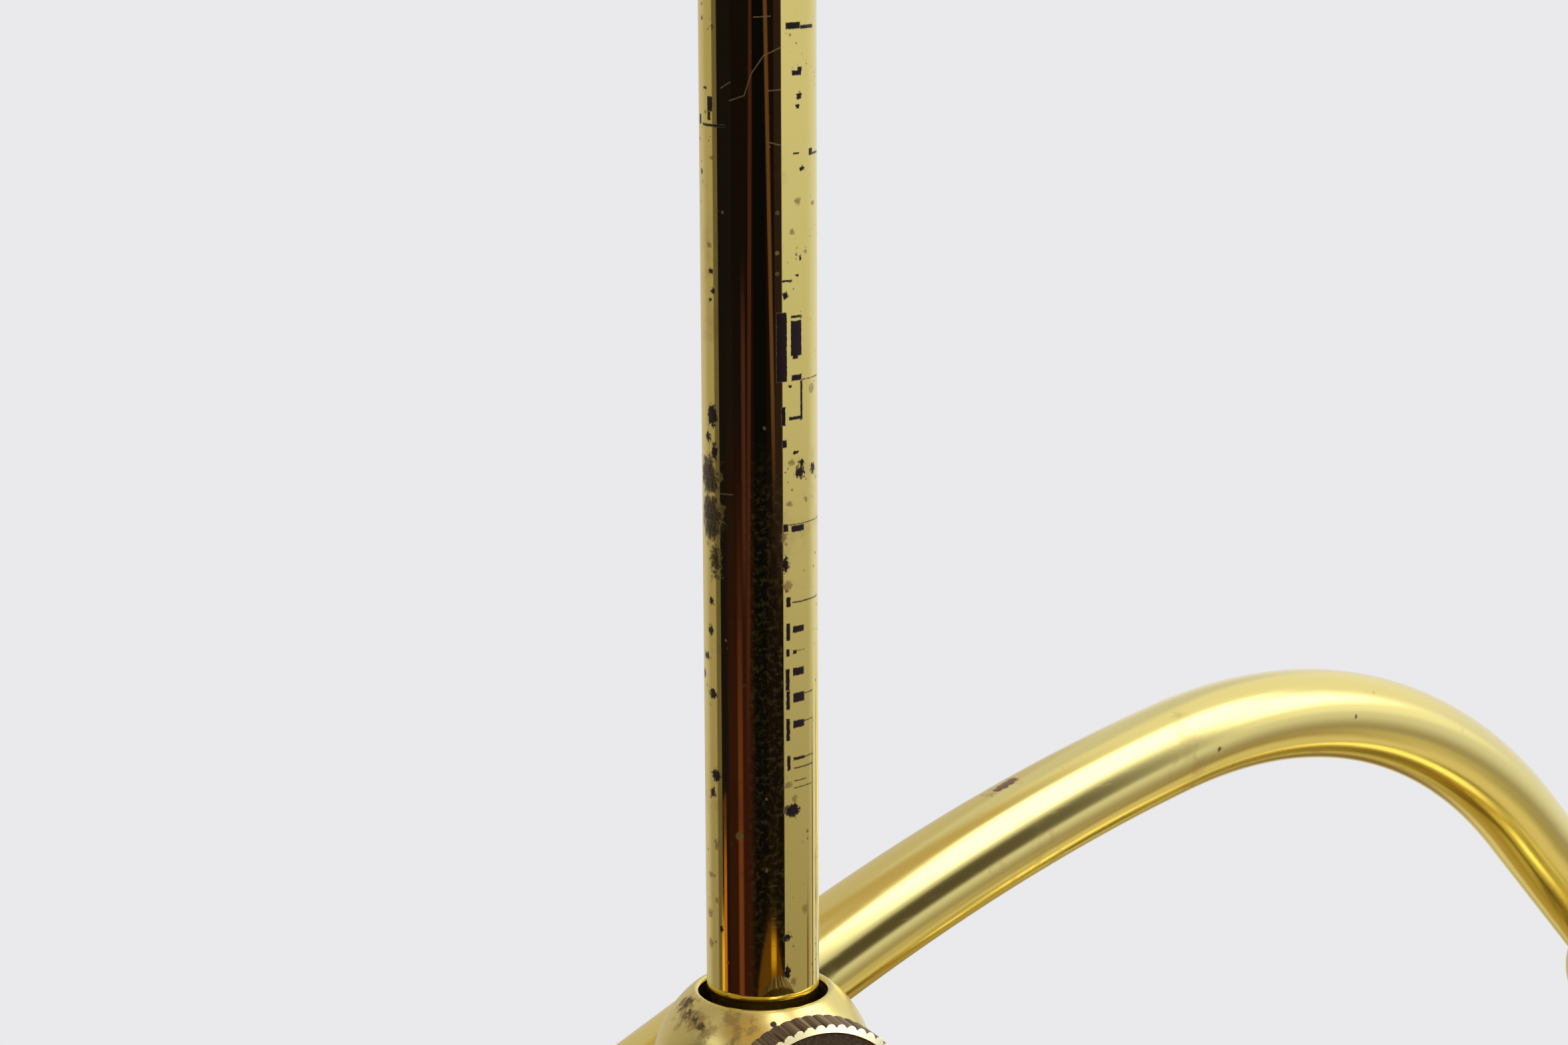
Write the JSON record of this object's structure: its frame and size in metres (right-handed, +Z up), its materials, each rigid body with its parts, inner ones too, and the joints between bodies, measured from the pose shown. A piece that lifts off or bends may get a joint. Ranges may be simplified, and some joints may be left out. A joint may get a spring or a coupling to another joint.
{
  "type": "swing arm desk lamp",
  "caption": "Brass desk lamp: weighted round foot, tall post, ball clamp with a knurled thumb-screw that slides and turns, bent arm, tilting dome shade.",
  "frame": {"origin": "middle of the foot's underside, on the post's axis", "axes": "+Z up along the post, +X along the arm"},
  "size_m": [0.4048, 0.1993, 0.521],
  "materials": {
    "post_brass": "polished, aged, with dark specks and fine scratches",
    "foot_brass": "polished, aged",
    "ball_brass": "polished, aged",
    "knob_brass": "tarnished brown, rubbed bright on edges",
    "arm_brass": "polished, clean",
    "fitting_brass": "aged satin",
    "shade_brass": "spun, polished outside, white enamel inside",
    "plated_steel": "plated",
    "iron": "raw casting",
    "felt": "pressed felt",
    "fibre": "vulcanised fibre",
    "moulding": "moulded phenolic",
    "bulb_metal": "plain",
    "bulb_glass": "frosted"
  },
  "bodies": {
    "stand": {"base_shell": "foot_brass", "base_weight": "iron", "base_felt": "felt", "base_collar": "post_brass", "post_nipple": "plated_steel", "post_lock_washer": "plated_steel", "post_nut": "plated_steel", "post_tube": "post_brass", "post_finial": "post_brass"},
    "friction_rings": {"guide_rings": "fibre"},
    "arm": {"slider_ball": "ball_brass", "ball_plug": "ball_brass", "arm_neck": "ball_brass", "arm_tube": "arm_brass", "tail_cap": "arm_brass", "cord_bush": "moulding", "joint_arm_half": "fitting_brass", "joint_washer": "fibre", "joint_screw": "plated_steel", "joint_nut": "plated_steel"},
    "clamp_tip": {"clamp_pad": "knob_brass"},
    "clamp_knob": {"clamp_screw": "knob_brass"},
    "shade": {"joint_shade_half": "fitting_brass", "shade_stem": "fitting_brass", "stem_nut": "plated_steel", "lampholder_cap": "fitting_brass", "lampholder_body": "moulding", "lampholder_shell": "fitting_brass", "lampholder_contact": "fitting_brass", "switch_bush": "fitting_brass", "shade_shell": "shade_brass", "shade_ring": "moulding", "bulb_cap": "bulb_metal", "bulb_glass": "bulb_glass"},
    "switch": {"switch_key": "fitting_brass"}
  },
  "joints": [
    {"name": "height_slide", "type": "slide", "parent": "stand", "child": "friction_rings", "axis": [0, 0, 1], "range_m": [-0.13, 0.12]},
    {"name": "arm_swing", "type": "hinge", "parent": "friction_rings", "child": "arm", "pos_m": [0, 0, 0.35], "axis": [0, 0, 1], "continuous": true},
    {"name": "clamp_travel", "type": "slide", "parent": "arm", "child": "clamp_tip", "axis": [-0.342, -0.9397, 0], "range_m": [0, 0.00155]},
    {"name": "clamp_turn", "type": "hinge", "parent": "clamp_tip", "child": "clamp_knob", "pos_m": [0, 0, 0.3484], "axis": [-0.342, -0.9397, 0], "range_deg": [0, 540]},
    {"name": "shade_tilt", "type": "hinge", "parent": "arm", "child": "shade", "pos_m": [0.2265, 0.021, 0.30047], "axis": [0, -1, 0], "range_deg": [-40, 75]},
    {"name": "switch_turn", "type": "hinge", "parent": "shade", "child": "switch", "pos_m": [0.2265, 0.021, 0.26547], "axis": [1, 0, 0], "range_deg": [0, 90]}
  ],
  "couplings": [
    {"joint": "clamp_travel", "follows": "clamp_turn", "m_per_rad": 0.00015915}
  ]
}
